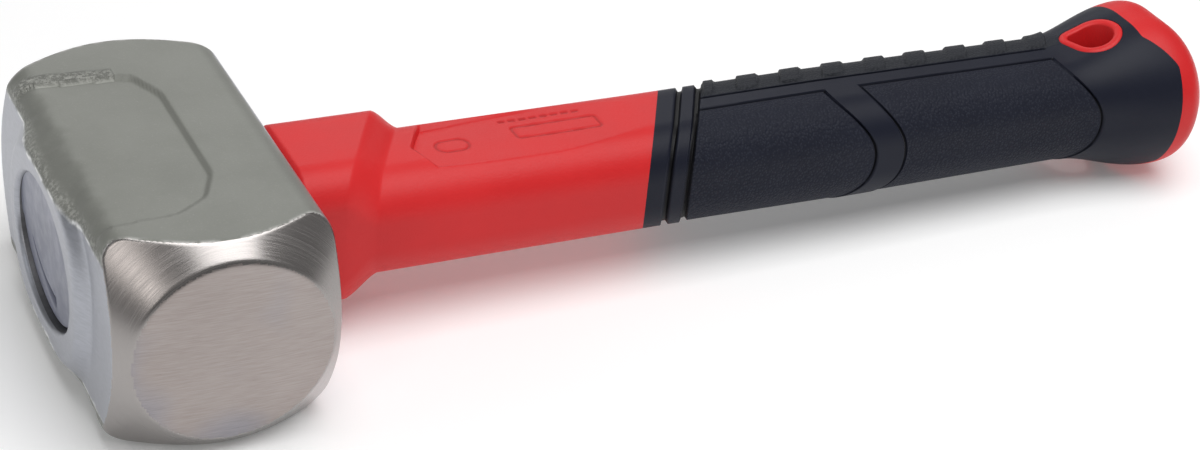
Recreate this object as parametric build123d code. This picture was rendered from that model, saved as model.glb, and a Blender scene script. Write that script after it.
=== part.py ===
from build123d import *
from math import asin, sin, sqrt
import os

# Club hammer with a moulded glass-fibre handle, lying on one cheek.
# X runs along the handle from the head to the butt, Y is the striking axis, Z is up.
# Everything is drawn with x = 0 at the middle of the head, and moved at the end so that
# the origin lies in the plane of the lower cheek, below the middle of the whole tool.

# ---- driving dimensions, mm ----
HEAD_WIDTH = 45.0        # along the handle
HEAD_LENGTH = 90.0       # between the two striking faces
HEAD_HEIGHT = 46.0       # between the two cheeks
HEAD_EDGE_RADIUS = 6.5   # rounding of the four long edges
FACE_RADIUS = 19.5       # round striking face
CROWN_RISE = 0.7         # slight dome of a striking face
CONE_SLOPE = 1.03        # radial growth per mm of the turned cone behind a striking face
CONE_DEPTH = 16.0        # reach of the turning tool along the striking axis
FACE_EDGE_RADIUS = 1.2

BOSS_HEIGHT = 2.4        # raised oval collar around the eye, on the side away from the handle
BOSS_FOOT_Y, BOSS_FOOT_Z = 28.0, 17.5    # half sizes where it leaves the flat side
BOSS_RIM_Y, BOSS_RIM_Z = 23.0, 16.3
EYE_TOP_Y, EYE_TOP_Z = 20.0, 14.5        # half axes of the tapered eye, far from the handle
EYE_BOTTOM_Y, EYE_BOTTOM_Z = 16.5, 11.8  # the same at the handle side

RECESS_DEPTH = 1.0       # shallow forged field on each cheek, open towards the eye's rim
RECESS_CORNERS = [(-6.0, 28.8), (0.5, 24.6), (4.2, 16.5)]   # x and half width

AXIS_Z = HEAD_HEIGHT / 2     # height of the handle's axis above the lower cheek
NECK_Y, NECK_Z = 14.6, 12.2  # half sizes of the neck
NECK_RADIUS = 9.4            # corner rounding of neck and grip
GRIP_START = 109.4           # where the red neck meets the black grip, on the axis
GRIP_FULLEST, GRIP_SWELL = 149.4, 0.3
FLARE_START = 212.0
BUTT_Y, BUTT_Z = 20.7, 18.6  # half sizes of the rounded butt
BUTT_WIDEST_Y, BUTT_WIDEST_Z = 240.6, 236.8
BUTT_SHIFT = 1.4             # the butt stands this much more towards the ribbed side
BUTT_ROUNDNESS = 0.98        # its corner radius as a share of its half height
BUTT_END, DOME_APEX = 249.0, 249.3   # small flat end, just short of the dome's apex
FLARE_STEPS, DOME_STEPS = 8, 6
GRIP_END, GRIP_SIDE_END = 232.0, 238.0   # the grip reaches further on its near side
END_CORNER_Y, END_SIDE_Y = -6.5, -14.5   # between these its edge runs obliquely
SLANT = 0.55             # X per mm of Y for the slanted ends and grooves of the mouldings
SKIN = 2.7               # thickness of the grip's soft skin

COLLAR_Y, COLLAR_Z = 15.4, 16.2      # half sizes of the raised collar next to the head
COLLAR_TOP_END = 41.5                # where its flat ends, on the axis
COLLAR_FOOT = 48.0                   # where its slope meets the neck, on the axis
COLLAR_RADIUS = 8.0
COLLAR_CHAMFER = 2.6     # bevel at the head
SLOPE_ROOT = 1.5         # depth of the slope's foot below the skin of the neck

CORE_Y, CORE_Z, CORE_RADIUS = 9.4, 7.0, 5.0   # half sizes of the glass-fibre rod
CORE_START, CORE_END = -20.5, 204.0
RESIN_SINK = 0.8         # the resin ends this far below the rim of the eye
CREASE = [(7.0, -2.6), (-3.0, -5.6), (-12.5, -4.8)]   # y and z of a shallow crease in the set resin
CREASE_RADIUS = 0.55

RIB_FIRST, RIB_PITCH, RIB_COUNT = 120.6, 10.95, 9   # slanted cross ribs away from the panels
RIB_LENGTH, RIB_HEIGHT, RIB_EDGE_Y = 5.2, 0.6, 3.4
RIB_GAP = 1.2                # from the second groove to the first rib, which it cuts short
RIB_ROOT = 0.2           # depth of the ribs' foot below the skin of the grip
GROOVE_WIDTH, GROOVE_DEPTH = 1.3, 0.9
FIRST_GROOVE, SECOND_GROOVE = 114.6, 119.3         # slanted ring grooves, on the axis
PANEL_SINK, PANEL_EDGE_Y = 0.45, -2.4
PANEL_BOW = 8.0          # how far a panel's curved end reaches past its corners
PANEL_START_BOW = 6.5
FRONT_PANEL_END = 158.2
REAR_PANEL_START, REAR_PANEL_END = 165.8, 218.7

NAME_FIELD_DEPTH = 0.6   # shallow blank field on each cheek side of the neck
NAME_FIELD_START, NAME_FIELD_END = 52.3, 99.0
NAME_FIELD_Y = 9.0
NAME_FIELD_CORNER = 3.0

HOLE_X, HOLE_Y, HOLE_RADIUS = 223.6, 0.0, 4.2    # hang hole, with its tip towards the head
TIP_DX, TIP_DY, TIP_RADIUS = -3.8, 2.8, 1.3
EYELET_WALL = 2.0        # red tube round the hang hole

FAR = 60.0               # reach of the cutting blocks past the part


def section(x, half_y, half_z, radius, shift=0.0):
    """Rounded rectangle across the handle at x, its middle moved sideways by shift."""
    plane = Plane(origin=(x, shift, AXIS_Z), x_dir=(0, 1, 0), z_dir=(1, 0, 0))
    return plane * RectangleRounded(2 * half_y, 2 * half_z, radius)


def soft_step(share):
    """0 to 1 with level ends."""
    share = min(max(share, 0.0), 1.0)
    return share * share * (3 - 2 * share)


def butt_half(x, neck, butt, widest):
    """Half size at x of the flare, which grows from neck to butt, and of the dome behind it."""
    if x <= widest:
        return neck + (butt - neck) * soft_step((x - FLARE_START) / (widest - FLARE_START))
    return butt * sqrt(1 - ((x - widest) / (DOME_APEX - widest)) ** 2)


def butt_section(x, grow):
    """Section of the flare or the dome at x, moved outwards by grow."""
    half_y = butt_half(x, NECK_Y, BUTT_Y, BUTT_WIDEST_Y)
    half_z = butt_half(x, NECK_Z, BUTT_Z, BUTT_WIDEST_Z)
    share = soft_step((x - FLARE_START) / (BUTT_WIDEST_Z - FLARE_START))
    neck_roundness = NECK_RADIUS / NECK_Z
    radius = half_z * (neck_roundness + (BUTT_ROUNDNESS - neck_roundness) * share)
    return section(x, half_y + grow, half_z + grow, radius + grow, BUTT_SHIFT * share)


def handle_body(grow=0.0):
    """Outer shape of neck, grip, flared butt and domed end, moved outwards by grow."""
    shank = []
    stations = [(HEAD_WIDTH / 2, 0.0), (GRIP_START, 0.0), (GRIP_FULLEST, GRIP_SWELL), (FLARE_START, 0.0)]
    for x, swell in stations:
        more = swell + grow
        shank.append(section(x, NECK_Y + more, NECK_Z + more, NECK_RADIUS + more))
    places = []
    for step in range(FLARE_STEPS + 1):
        places.append(FLARE_START + (BUTT_WIDEST_Y - FLARE_START) * step / FLARE_STEPS)
    reach = DOME_APEX - BUTT_WIDEST_Y
    last_turn = asin((BUTT_END - BUTT_WIDEST_Y) / reach)
    for step in range(1, DOME_STEPS + 1):
        places.append(BUTT_WIDEST_Y + reach * sin(last_turn * step / DOME_STEPS))
    return loft(shank, ruled=True) + loft([butt_section(x, grow) for x in places])


def slanted_block(x_axis, length):
    """Block across the handle whose ends lean by SLANT; it starts at x_axis on the axis."""
    lean = SLANT * FAR
    outline = Polyline(
        (x_axis - lean, -FAR), (x_axis - lean + length, -FAR),
        (x_axis + lean + length, FAR), (x_axis + lean, FAR), close=True,
    )
    return Pos(0, 0, -FAR) * extrude(make_face(outline), 2 * FAR + AXIS_Z)


def bowed_end(x_middle, bow, half_z):
    """Curved line in the XZ plane: furthest along X at the axis, back by bow at the cheeks."""
    return ThreePointArc(
        (x_middle - bow, 0, AXIS_Z - half_z), (x_middle, 0, AXIS_Z), (x_middle - bow, 0, AXIS_Z + half_z)
    )


def panel_block(start, end, start_bow):
    """Space of one smooth panel, which wraps the near side of the grip."""
    reach = NECK_Z + 1
    edges = [
        bowed_end(end, PANEL_BOW, reach),
        Line((end - PANEL_BOW, 0, AXIS_Z + reach), (start - start_bow, 0, AXIS_Z + reach)),
        Line((end - PANEL_BOW, 0, AXIS_Z - reach), (start - start_bow, 0, AXIS_Z - reach)),
    ]
    if start_bow:
        edges.append(bowed_end(start, start_bow, reach))
    else:
        edges.append(Line((start, 0, AXIS_Z - reach), (start, 0, AXIS_Z + reach)))
    block = extrude(make_face(edges), amount=FAR, dir=(0, -1, 0))
    return Pos(0, PANEL_EDGE_Y, 0) * block


def drop_outline(grow):
    """Outline of the hang hole: a round end joined to a small tip, moved outwards by grow."""
    round_end = Pos(HOLE_X, HOLE_Y) * Circle(HOLE_RADIUS + grow)
    tip = Pos(HOLE_X + TIP_DX, HOLE_Y + TIP_DY) * Circle(TIP_RADIUS + grow)
    return make_hull((round_end.edges() + tip.edges()))


def make_head():
    body = Pos(0, 0, AXIS_Z) * Box(HEAD_WIDTH, HEAD_LENGTH, HEAD_HEIGHT)
    body = fillet(body.edges().filter_by(Axis.Y), HEAD_EDGE_RADIUS)
    side = -HEAD_WIDTH / 2
    boss_foot = section(side + RESIN_SINK, BOSS_FOOT_Y, BOSS_FOOT_Z, EYE_TOP_Z)
    boss_rim = section(side - BOSS_HEIGHT, BOSS_RIM_Y, BOSS_RIM_Z, EYE_TOP_Z)
    body += loft([boss_foot, boss_rim])

    # The turned spindle holds the two round faces and the cones behind them.
    half = HEAD_LENGTH / 2
    widest = FACE_RADIUS + CONE_DEPTH * CONE_SLOPE
    crown = half - CROWN_RISE
    ball_radius = (FACE_RADIUS ** 2 + CROWN_RISE ** 2) / (2 * CROWN_RISE)
    halfway = half - ball_radius + (ball_radius ** 2 - (FACE_RADIUS / 2) ** 2) ** 0.5
    profile = [
        ThreePointArc((0, half, 0), (FACE_RADIUS / 2, halfway, 0), (FACE_RADIUS, crown, 0)),
        Line((FACE_RADIUS, crown, 0), (widest, half - CONE_DEPTH, 0)),
        Line((widest, half - CONE_DEPTH, 0), (widest, CONE_DEPTH - half, 0)),
        Line((widest, CONE_DEPTH - half, 0), (FACE_RADIUS, -crown, 0)),
        ThreePointArc((FACE_RADIUS, -crown, 0), (FACE_RADIUS / 2, -halfway, 0), (0, -half, 0)),
        Line((0, -half, 0), (0, half, 0)),
    ]
    face = make_face(profile)
    rims = face.vertices().filter_by_position(Axis.X, FACE_RADIUS, FACE_RADIUS)
    face = fillet(rims, FACE_EDGE_RADIUS)
    body &= Pos(0, 0, AXIS_Z) * revolve(face, Axis.Y)

    # One shallow field on each cheek, open towards the eye side.
    near_side = [(x, -y) for x, y in reversed(RECESS_CORNERS)]
    ends = [(-FAR, -RECESS_CORNERS[0][1]), (-FAR, RECESS_CORNERS[0][1])]
    field = Polyline(*RECESS_CORNERS, *near_side, *ends, close=True)
    for level, direction in ((HEAD_HEIGHT, -1), (0, 1)):
        tool = Pos(0, 0, level) * extrude(make_face(field), direction * RECESS_DEPTH)
        body -= tool
    return body - make_eye()


def make_eye():
    """Tapered hole along X that holds the handle."""
    plane = Plane(origin=(0, 0, AXIS_Z), x_dir=(0, 1, 0), z_dir=(1, 0, 0))
    start = -HEAD_WIDTH / 2 - BOSS_HEIGHT
    wide = plane.offset(start - 0.001) * Ellipse(EYE_TOP_Y, EYE_TOP_Z)
    narrow = plane.offset(HEAD_WIDTH / 2) * Ellipse(EYE_BOTTOM_Y, EYE_BOTTOM_Z)
    return loft([wide, narrow])


def make_core():
    return extrude(section(CORE_START, CORE_Y, CORE_Z, CORE_RADIUS), CORE_END - CORE_START)


def make_resin(core):
    """Epoxy that fills the eye around the core and over its end."""
    start = -HEAD_WIDTH / 2 - BOSS_HEIGHT + RESIN_SINK
    keep = Pos((start + HEAD_WIDTH / 2) / 2, 0, AXIS_Z) * Box(HEAD_WIDTH / 2 - start, FAR, FAR)
    resin = (make_eye() & keep) - core
    # Shallow curved crease across the set resin.
    arc = ThreePointArc(*[(start, y, AXIS_Z + z) for y, z in CREASE])
    crease = sweep(Plane(origin=arc @ 0, z_dir=arc % 0) * Circle(CREASE_RADIUS), path=arc)
    return resin - crease


def oblique_end(x_axis, half_y, half_z, radius):
    """Face left by a slanted cut through a straight bar with the given section."""
    bar = extrude(section(0, half_y, half_z, radius), 2 * FAR)
    bar -= slanted_block(x_axis, 4 * FAR)
    return bar.faces().sort_by(Axis.X)[-1]


def make_collar():
    """Raised block next to the head, with a slanted slope down to the neck."""
    block = extrude(section(HEAD_WIDTH / 2, COLLAR_Y, COLLAR_Z, COLLAR_RADIUS), FAR)
    block = chamfer(block.faces().sort_by(Axis.X)[0].edges(), COLLAR_CHAMFER)
    block -= slanted_block(COLLAR_TOP_END, 2 * FAR)
    top = oblique_end(COLLAR_TOP_END, COLLAR_Y, COLLAR_Z, COLLAR_RADIUS)
    # The slope runs on below the skin of the neck, to a root that is SLOPE_ROOT deep.
    grade = (COLLAR_FOOT - COLLAR_TOP_END) / (COLLAR_Z - NECK_Z)
    root_x = COLLAR_FOOT + grade * SLOPE_ROOT
    root = oblique_end(root_x, NECK_Y - SLOPE_ROOT, NECK_Z - SLOPE_ROOT, NECK_RADIUS - SLOPE_ROOT)
    return block + loft([top, root], ruled=True)


def name_field(side):
    """Space of the shallow blank field on one cheek side of the neck."""
    lean = SLANT * NAME_FIELD_Y
    outline = Polyline(
        (NAME_FIELD_START + lean, NAME_FIELD_Y), (NAME_FIELD_START - lean / 2, -NAME_FIELD_Y / 2),
        (NAME_FIELD_START + NAME_FIELD_CORNER, -NAME_FIELD_Y), (NAME_FIELD_END - lean, -NAME_FIELD_Y),
        (NAME_FIELD_END + lean, NAME_FIELD_Y), close=True,
    )
    floor = AXIS_Z + side * (NECK_Z - NAME_FIELD_DEPTH)
    return Pos(0, 0, floor) * extrude(make_face(outline), side * FAR)


def make_grip_zone():
    """Space between the slanted start of the grip and its stepped end."""
    lean = SLANT * FAR
    outline = Polyline(
        (GRIP_START - lean, -FAR), (GRIP_START + lean, FAR), (GRIP_END, FAR),
        (GRIP_END, END_CORNER_Y), (GRIP_SIDE_END, END_SIDE_Y), (GRIP_SIDE_END, -FAR), close=True,
    )
    return Pos(0, 0, AXIS_Z - FAR) * extrude(make_face(outline), 2 * FAR)


def make_handle():
    """The two mouldings: red jacket and black grip."""
    core = make_core()
    outer = handle_body()
    hole = Pos(0, 0, -FAR) * extrude(drop_outline(0), 2 * FAR + AXIS_Z)
    eyelet = Pos(0, 0, -FAR) * extrude(drop_outline(EYELET_WALL), 2 * FAR + AXIS_Z)
    zone = make_grip_zone()
    carrier = handle_body(-SKIN) & zone

    grip = (outer & zone) - carrier - eyelet
    deep = handle_body(-GROOVE_DEPTH)
    shallow = handle_body(-PANEL_SINK)
    for start in (FIRST_GROOVE, SECOND_GROOVE):
        grip -= (slanted_block(start - GROOVE_WIDTH / 2, GROOVE_WIDTH) - deep)
    front = panel_block(SECOND_GROOVE - SLANT * FAR, FRONT_PANEL_END, 0)
    front &= slanted_block(SECOND_GROOVE, 2 * FAR)
    rear = panel_block(REAR_PANEL_START, REAR_PANEL_END, PANEL_START_BOW)
    for panel in (front, rear):
        grip -= panel - shallow
    ribbed_side = Pos(GRIP_END / 2, RIB_EDGE_Y + FAR / 2, AXIS_Z) * Box(GRIP_END, FAR, 2 * FAR)
    rib_skin = handle_body(RIB_HEIGHT) - handle_body(-RIB_ROOT)
    for index in range(RIB_COUNT):
        end = RIB_FIRST + index * RIB_PITCH + RIB_LENGTH / 2
        start = max(end - RIB_LENGTH, SECOND_GROOVE + RIB_GAP)
        rib_space = slanted_block(start, end - start) & ribbed_side
        grip += rib_skin & rib_space

    jacket = (outer - zone) + make_collar() + carrier + (eyelet & outer)
    for side in (-1, 1):
        jacket -= name_field(side)
    jacket -= core
    jacket -= hole
    return core, jacket, grip - hole


def main():
    os.makedirs("parts", exist_ok=True)
    core, jacket, grip = make_handle()
    nodes = {
        "hammer_head": make_head(),
        "eye_resin": make_resin(core),
        "core_rod": core,
        "handle_jacket": jacket,
        "grip_overmould": grip,
    }
    middle = (BUTT_END - HEAD_WIDTH / 2 - BOSS_HEIGHT) / 2
    for name, shape in nodes.items():
        export_step(Pos(-middle, 0, 0) * shape, f"parts/{name}.step")


if __name__ == "__main__":
    main()
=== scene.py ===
import math
import bpy
import bmesh
import numpy as np
from mathutils import Matrix, Vector


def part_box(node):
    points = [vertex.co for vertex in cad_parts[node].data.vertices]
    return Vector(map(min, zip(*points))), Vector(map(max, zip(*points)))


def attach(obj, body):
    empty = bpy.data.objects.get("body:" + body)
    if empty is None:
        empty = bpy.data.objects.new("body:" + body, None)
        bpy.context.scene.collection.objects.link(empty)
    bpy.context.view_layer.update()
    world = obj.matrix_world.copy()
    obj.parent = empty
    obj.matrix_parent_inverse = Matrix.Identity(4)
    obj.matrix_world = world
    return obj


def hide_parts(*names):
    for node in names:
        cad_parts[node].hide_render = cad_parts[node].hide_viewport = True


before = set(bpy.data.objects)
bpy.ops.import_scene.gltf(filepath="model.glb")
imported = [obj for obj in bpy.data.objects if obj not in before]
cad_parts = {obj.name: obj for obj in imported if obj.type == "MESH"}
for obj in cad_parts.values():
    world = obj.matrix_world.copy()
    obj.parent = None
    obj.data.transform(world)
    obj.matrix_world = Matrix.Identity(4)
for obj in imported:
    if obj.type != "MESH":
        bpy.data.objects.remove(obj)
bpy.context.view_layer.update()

# Drawing frame: millimetres, x = 0 at the middle of the head and z = 0 on the handle's axis.
MM = 0.001
HEAD_LOW, HEAD_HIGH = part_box("hammer_head")
HEAD_WIDTH, HEAD_LENGTH, HEAD_HEIGHT = 45.0, 90.0, 46.0
ORIGIN = np.array([HEAD_HIGH[0] - HEAD_WIDTH / 2 * MM, 0.0, (HEAD_LOW[2] + HEAD_HIGH[2]) / 2])

# Head, from its long edges and striking faces to the eye and the resin in it. The recess is the cheek's
# shallow field, the lumps are forged waviness at the eye side, and the crease runs across the resin.
HEAD_EDGE_RADIUS, EYE_SIDE_RADIUS = 6.5, 4.8
FACE_RADIUS = 19.5
CROWN_RISE = 0.7
CONE_SLOPE = 1.03
HANDLE_SIDE_FULLNESS = 0.96
BOSS_HEIGHT = 2.4
BOSS_Y, BOSS_Z, BOSS_POWER, BOSS_TOP, BOSS_FOOT = 22.5, 17.5, 2.6, 1.03, 1.28
RECESS_DEPTH, RECESS_SIDE_X, RECESS_FAR_Y, RECESS_NEAR_Y = 0.75, 4.2, 25.0, 28.3
LUMP_HEIGHT, SCALE_HEIGHT = 0.4, 0.15
EYE_TOP_Y, EYE_TOP_Z = 20.0, 14.5
EYE_BOTTOM_Y, EYE_BOTTOM_Z = 16.5, 11.8
RESIN_SINK, RESIN_LEAN, RIM_GAP = 0.8, 0.04, 1.3
CREASE_Z, CREASE_LEAN, CREASE_BEND, CREASE_DEPTH, CREASE_LIP = -9.7, 0.16, 0.022, 2.2, 0.25

# Handle sections: half sizes and corner rounding of the neck, the butt and the collar at the head.
NECK_Y, NECK_Z, NECK_RADIUS = 14.6, 12.2, 9.4
BUTT_Y, BUTT_Z, BUTT_SHIFT, BUTT_ROUNDNESS = 20.7, 18.6, 1.4, 0.98
COLLAR_Y, COLLAR_Z, COLLAR_RADIUS = 15.4, 16.2, 8.0
COLLAR_TOP_END, COLLAR_FOOT, COLLAR_CHAMFER = 41.5, 48.0, 2.6
SLANT = 0.55

# Shallow field on the neck, and the plain marks in it: a lens shape, a frame and a row of dashes.
NAME_START, NAME_SIDE_Y, NAME_NEAR_Y, NAME_NEAR_X, NAME_NEAR_LEAN = 52.8, 9.0, -8.6, 55.0, 0.05
NAME_BEVEL_X, NAME_BEVEL_Y = 52.5, -1.0
NAME_DEPTH, NAME_EXTRA_DEPTH, NAME_LEVEL_X, NAME_FADE, NAME_END = 0.95, 1.5, 85.0, 80.0, 105.0
MARK_LEAN, MARK_DEPTH = 0.06, 0.22
LENS_X, LENS_HALF_X, LENS_HALF_Y, LENS_CORNER = 62.0, 3.6, 2.4, 2.2
FRAME_X, FRAME_Y, FRAME_HALF_X, FRAME_HALF_Y, FRAME_CORNER = 86.0, 0.4, 9.5, 2.3, 0.8
ROW_X, ROW_Y, ROW_HALF = 84.0, 5.6, 9.0
DASH_PITCH, DASH_HALF_LENGTH, DASH_HALF_WIDTH = 2.4, 0.75, 0.35

# Places along the handle where the mouldings start, swell, flare and end, and the rod inside.
GRIP_START, GRIP_FULLEST, GRIP_SWELL = 109.4, 149.4, 0.3
GRIP_END, GRIP_SIDE_END, END_CORNER_Y, END_SIDE_Y = 232.0, 238.0, -6.5, -14.5
FLARE_START, BUTT_WIDEST_Y, BUTT_WIDEST_Z = 212.0, 240.6, 236.8
BUTT_END, DOME_APEX = 249.0, 249.3
SKIN = 2.7
CORE_Y, CORE_Z, CORE_RADIUS, CORE_START, CORE_END = 9.4, 7.0, 5.0, -20.5, 204.0

# Relief of the grip: ring grooves, border lines, ribs on one side and two panels on the other.
FIRST_GROOVE, SECOND_GROOVE, GROOVE_HALF, GROOVE_DEPTH = 114.6, 119.3, 0.7, 0.95
BORDER_HALF, BORDER_DEPTH = 0.3, 0.7
RIB_FIRST, RIB_PITCH, RIB_COUNT, RIB_LENGTH, RIB_HEIGHT = 120.6, 10.95, 9, 5.2, 0.6
RIB_EDGE_Y, RIB_GAP = 2.2, 1.2
RIBS_END = RIB_FIRST + (RIB_COUNT - 1) * RIB_PITCH + RIB_LENGTH / 2
PANEL_EDGE_Y, PANEL_BOW, PANEL_START_BOW, PANEL_SINK = -2.4, 8.0, 6.5, 0.25
FRONT_PANEL_END, REAR_PANEL_START, REAR_PANEL_END = 158.2, 165.8, 218.7

# Drop-shaped hang hole with its tip towards the head, and the red eyelet round it.
HOLE_X, HOLE_Y, HOLE_RADIUS = 223.6, 0.0, 4.2
TIP_DX, TIP_DY, TIP_RADIUS = -3.8, 2.8, 1.3
EYELET_WALL, LIP_RISE, LIP_SINK = 2.0, 0.55, 0.3

# Mesh fineness: places round a section, and steps along the surface in millimetres.
HEAD_GRID_STEP, EYE_PLACES, RESIN_PLACES, HOLE_PLACES = 0.5, 192, 256, 128
GRIP_PLACES, GRIP_STEP, GRIP_FINE_STEP = 215, 0.42, 0.18
JACKET_PLACES, JACKET_STEP, CAP_STEP = 250, 0.34, 0.5

# Floor, in metres.
FLOOR_HALF, FLOOR_CLEARANCE = 4.0, 0.0003


# ---------------------------------------------------------------- helpers

def smooth_step(low, high, value):
    """0 below low, 1 above high, with soft ends."""
    share = np.clip((value - low) / (high - low), 0.0, 1.0)
    return share * share * (3.0 - 2.0 * share)


def smooth_max(first, second, blend):
    """The larger of two distances, rounded where they cross."""
    share = np.clip(0.5 + 0.5 * (first - second) / blend, 0.0, 1.0)
    return second + (first - second) * share + blend * share * (1.0 - share)


def to_row(points):
    """Points of the drawing frame, in metres in the row frame."""
    return np.asarray(points, dtype=float) * MM + ORIGIN


def new_piece(name, points, faces, node):
    """Mesh object from drawing-frame points, standing for a CAD node."""
    mesh = bpy.data.meshes.new(name)
    mesh.from_pydata(to_row(points).tolist(), [], faces)
    mesh.validate()
    mesh.update()
    mesh.polygons.foreach_set("use_smooth", [True] * len(mesh.polygons))
    piece = bpy.data.objects.new(name, mesh)
    bpy.context.scene.collection.objects.link(piece)
    if node:
        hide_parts(node)
        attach(piece, "root")
    return piece


def loop_faces(rows, columns, wrap):
    """Quads between successive loops of equal length; wrap joins the last loop to the first."""
    faces = []
    for row in range(rows if wrap else rows - 1):
        low = row * columns
        high = ((row + 1) % rows) * columns
        for column in range(columns):
            after = (column + 1) % columns
            faces.append((low + column, low + after, high + after, high + column))
    return faces


def closed_stack(loops):
    """Points and faces of a solid from stacked loops, closed by a fan at each end."""
    rows, columns = loops.shape[0], loops.shape[1]
    points = loops.reshape(-1, 3)
    faces = loop_faces(rows, columns, False)
    first, last = len(points), len(points) + 1
    points = np.vstack([points, loops[0].mean(axis=0), loops[-1].mean(axis=0)])
    top = (rows - 1) * columns
    for column in range(columns):
        after = (column + 1) % columns
        faces.append((after, column, first))
        faces.append((top + column, top + after, last))
    return points, faces


def cut(piece, tool, operation="DIFFERENCE"):
    """Applies an exact boolean with tool, and deletes tool."""
    change = piece.modifiers.new("cut", "BOOLEAN")
    change.operation = operation
    change.solver = "EXACT"
    change.object = tool
    graph = bpy.context.evaluated_depsgraph_get()
    mesh = bpy.data.meshes.new_from_object(piece.evaluated_get(graph))
    piece.modifiers.clear()
    piece.data = mesh
    bpy.data.objects.remove(tool)


def drawing_points(piece):
    """Vertices of a piece in the drawing frame, mm."""
    flat = np.empty(len(piece.data.vertices) * 3)
    piece.data.vertices.foreach_get("co", flat)
    return (flat.reshape(-1, 3) - ORIGIN) / MM


def paint(piece, name, values):
    """Stores one number per vertex for the materials to read."""
    layer = piece.data.attributes.new(name, "FLOAT", "POINT")
    layer.data.foreach_set("value", np.asarray(values, dtype=np.float32))


def face_centres(piece):
    """Middles of a piece's faces in the drawing frame, mm."""
    flat = np.empty(len(piece.data.polygons) * 3)
    piece.data.polygons.foreach_get("center", flat)
    return (flat.reshape(-1, 3) - ORIGIN) / MM


# ---------------------------------------------------------------- handle sections

class Ring:
    """Places round a rounded rectangle: side position a, b and corner direction.
    They stand closer together beside the lines at the given y."""

    def __init__(self, count, lines=()):
        flat_y, flat_z = NECK_Y - NECK_RADIUS, NECK_Z - NECK_RADIUS
        arc = math.pi / 2 * NECK_RADIUS
        lengths = [flat_z * 2, arc, flat_y * 2, arc] * 2
        ends = np.concatenate([[0.0], np.cumsum(lengths)])
        place = (np.arange(count) + 0.5) / count * ends[-1]
        beside = np.linspace(-0.5, 0.5, 7)
        for y in lines:
            place = np.concatenate([place, ends[2] + flat_y - y + beside, ends[6] + flat_y + y + beside])
        place = np.sort(place)
        count = len(place)
        part = np.searchsorted(ends, place, side="right") - 1
        share = (place - ends[part]) / np.array(lengths)[part]
        corners = [(1, 1), (-1, 1), (-1, -1), (1, -1)]
        self.a, self.b, self.turn = np.empty(count), np.empty(count), np.empty(count)
        for index in range(count):
            side, within = divmod(part[index], 2)
            start, end = corners[side - 1], corners[side]
            if within == 0:
                self.a[index] = start[0] + (end[0] - start[0]) * share[index]
                self.b[index] = start[1] + (end[1] - start[1]) * share[index]
                self.turn[index] = side * math.pi / 2
            else:
                self.a[index], self.b[index] = end
                self.turn[index] = (side + share[index]) * math.pi / 2
        self.ny, self.nz = np.cos(self.turn), np.sin(self.turn)


def butt_half(x, neck, butt, widest):
    """Half size at x of the flare, which grows from neck to butt, and of the dome behind it."""
    grown = neck + (butt - neck) * smooth_step(FLARE_START, widest, x)
    past = np.clip((x - widest) / (DOME_APEX - widest), 0.0, 1.0)
    return np.where(x > widest, butt * np.sqrt(1.0 - past ** 2), grown)


def handle_sizes(x, lean):
    """Half sizes, corner radius and sideways shift of the handle's section.
    lean is x measured along the slanted planes, which bound the collar."""
    swell = np.interp(x, [GRIP_START, GRIP_FULLEST, FLARE_START], [0.0, GRIP_SWELL, 0.0])
    half_y = butt_half(x, NECK_Y, BUTT_Y, BUTT_WIDEST_Y) + swell
    half_z = butt_half(x, NECK_Z, BUTT_Z, BUTT_WIDEST_Z) + swell
    share = smooth_step(FLARE_START, BUTT_WIDEST_Z, x)
    neck_roundness = NECK_RADIUS / NECK_Z
    radius = half_z * (neck_roundness + (BUTT_ROUNDNESS - neck_roundness) * share)
    collar = np.clip((COLLAR_FOOT - lean) / (COLLAR_FOOT - COLLAR_TOP_END), 0.0, 1.0)
    collar = 0.5 * collar + 0.5 * smooth_step(0.0, 1.0, collar)
    half_y = half_y + (COLLAR_Y - half_y) * collar
    half_z = half_z + (COLLAR_Z - half_z) * collar
    radius = radius + (COLLAR_RADIUS - radius) * collar
    return half_y, half_z, radius, BUTT_SHIFT * share


def skin_points(ring, along, follow, relief=None, inset=0.0):
    """Points on the handle's skin for loops at the places along.
    follow gives how far a loop is shifted along x at each y and z, so that it runs with an edge."""
    along = np.asarray(along, dtype=float)[:, None]
    x = np.repeat(along, len(ring.a), axis=1)
    y = np.zeros_like(x)
    for _ in range(6):
        half_y, half_z, radius, shift = handle_sizes(x, x - SLANT * y)
        y = shift + ring.a * (half_y - radius) + ring.ny * radius
        z = ring.b * (half_z - radius) + ring.nz * radius
        x = along + follow(along, y, z)
    push = -inset + (relief(x, y, z) if relief is not None else 0.0)
    return np.stack([x, y + ring.ny * push, z + ring.nz * push], axis=-1)


def follow_nothing(along, y, z):
    """Loops square to the handle."""
    return np.zeros_like(y)


def follow_collar(along, y, z):
    """From square at the head to the slant of the collar and of the grip's start."""
    return smooth_step(HEAD_WIDTH / 2 + 1, COLLAR_TOP_END, along) * SLANT * y


def grip_step(y):
    """How far the grip's stepped end reaches past GRIP_END at y."""
    return (GRIP_SIDE_END - GRIP_END) * np.clip((END_CORNER_Y - y) / (END_CORNER_Y - END_SIDE_Y), 0.0, 1.0)


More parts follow.
